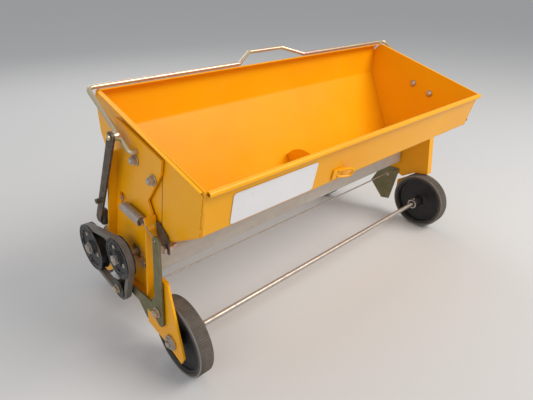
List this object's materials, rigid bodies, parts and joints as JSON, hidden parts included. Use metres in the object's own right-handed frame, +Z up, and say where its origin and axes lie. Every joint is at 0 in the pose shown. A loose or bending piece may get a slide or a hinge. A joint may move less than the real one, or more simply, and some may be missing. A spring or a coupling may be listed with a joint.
{
  "type": "garden spreader",
  "caption": "Long sheet-metal hopper on small wheels, with a belt-driven feed roller, metering gate, sprung tension lever and bail carrying handle.",
  "frame": {"origin": "on the ground, under the middle of the overall box", "axes": "+X along the hopper, away from the belt drive; +Y towards the rear, where the rim is higher; +Z up"},
  "size_m": [0.6658, 0.379, 0.3782],
  "materials": {
    "orange_paint": "gloss",
    "zinc": "satin",
    "yellow_zinc": "satin",
    "olive_chromate": "satin",
    "dark_steel": "satin",
    "black_paint": "satin",
    "rubber": "matte",
    "belt": "matte",
    "tyre": "matte",
    "aluminium": "satin",
    "label": "satin"
  },
  "bodies": {
    "chassis": {"hopper_back_sheet": "orange_paint", "hopper_front_sheet": "orange_paint", "hopper_end_left": "orange_paint", "hopper_end_right": "orange_paint", "hopper_gusset": "orange_paint", "blank_label": "label", "front_ring": "orange_paint", "side_frame_left": "orange_paint", "side_frame_right": "orange_paint", "front_leg_left": "orange_paint", "front_leg_right": "orange_paint", "rear_leg_left": "orange_paint", "rear_leg_right": "orange_paint", "deflector_left": "olive_chromate", "deflector_right": "olive_chromate", "levelling_wire": "zinc", "frame_bolt_left_rear": "zinc", "frame_bolt_left_front": "zinc", "frame_bolt_right_rear": "zinc", "frame_bolt_right_front": "zinc", "feed_bearing_left": "zinc", "feed_bearing_right": "zinc", "front_bush_left": "zinc", "front_bush_right": "zinc", "rear_bush_left": "zinc", "rear_bush_right": "zinc", "drive_bearing": "zinc", "lever_pivot_bolt": "yellow_zinc", "gate_bolt_left": "yellow_zinc", "gate_bolt_right": "yellow_zinc", "drive_chain": "dark_steel", "v_belt": "belt", "tension_spring": "zinc"},
    "front_wheels": {"front_axle": "zinc", "front_tyre_left": "tyre", "front_tyre_right": "tyre", "front_hub_left": "black_paint", "front_hub_right": "black_paint", "front_set_screw_left": "zinc", "front_set_screw_right": "zinc"},
    "rear_wheels": {"rear_axle": "zinc", "rear_tyre_left": "tyre", "rear_tyre_right": "tyre", "rear_hub_left": "black_paint", "rear_hub_right": "black_paint", "rear_sprocket": "dark_steel"},
    "drive": {"drive_shaft": "zinc", "drive_pulley": "black_paint", "drive_sprocket": "dark_steel"},
    "feed": {"feed_shaft": "zinc", "feed_roller": "aluminium", "driven_pulley": "black_paint"},
    "tension": {"tension_lever": "olive_chromate", "idler_bolt": "yellow_zinc"},
    "idler": {"idler_pulley": "black_paint"},
    "handle": {"bail_handle": "yellow_zinc"},
    "link": {"link_bar": "dark_steel"},
    "link_wheel": {"link_roller": "rubber"},
    "gate": {"gate_plate": "aluminium"}
  },
  "joints": [
    {"name": "front_axle_spin", "type": "hinge", "parent": "chassis", "child": "front_wheels", "pos_m": [0.0086, -0.10649, 0.056], "axis": [1, 0, 0], "continuous": true},
    {"name": "rear_axle_spin", "type": "hinge", "parent": "chassis", "child": "rear_wheels", "pos_m": [0.0086, 0.13351, 0.056], "axis": [1, 0, 0], "continuous": true},
    {"name": "drive_shaft_spin", "type": "hinge", "parent": "chassis", "child": "drive", "pos_m": [-0.3199, 0.07151, 0.127], "axis": [1, 0, 0], "continuous": true},
    {"name": "feed_roller_spin", "type": "hinge", "parent": "chassis", "child": "feed", "pos_m": [0.0086, -0.01849, 0.151], "axis": [1, 0, 0], "continuous": true},
    {"name": "tension_lever_swing", "type": "hinge", "parent": "chassis", "child": "tension", "pos_m": [-0.3107, -0.08649, 0.096], "axis": [1, 0, 0], "range_deg": [0, 8], "stiffness_Nm_per_rad": 1.5, "springref_deg": -20.05, "deforming": ["tension_spring"]},
    {"name": "idler_spin", "type": "hinge", "parent": "tension", "child": "idler", "pos_m": [-0.3199, -0.00549, 0.096], "axis": [1, 0, 0], "continuous": true},
    {"name": "bail_handle_swing", "type": "hinge", "parent": "chassis", "child": "handle", "pos_m": [0.0086, -0.05849, 0.305], "axis": [1, 0, 0], "range_deg": [0, 60]},
    {"name": "link_swing", "type": "hinge", "parent": "handle", "child": "link", "pos_m": [-0.3139, -0.03403, 0.3202], "axis": [1, 0, 0], "range_deg": [-56, 2]},
    {"name": "link_roller_spin", "type": "hinge", "parent": "link", "child": "link_wheel", "pos_m": [-0.3071, 0.04841, 0.18191], "axis": [1, 0, 0], "continuous": true},
    {"name": "gate_slide", "type": "slide", "parent": "chassis", "child": "gate", "axis": [0, 0, 1], "range_m": [0, 0.008]}
  ],
  "couplings": [
    {"joint": "drive_shaft_spin", "follows": "rear_axle_spin", "ratio": 1.5},
    {"joint": "feed_roller_spin", "follows": "rear_axle_spin", "ratio": 1.9118},
    {"joint": "idler_spin", "follows": "rear_axle_spin", "ratio": 3.25},
    {"joint": "link_swing", "follows": "bail_handle_swing", "ratio": -0.876}
  ]
}
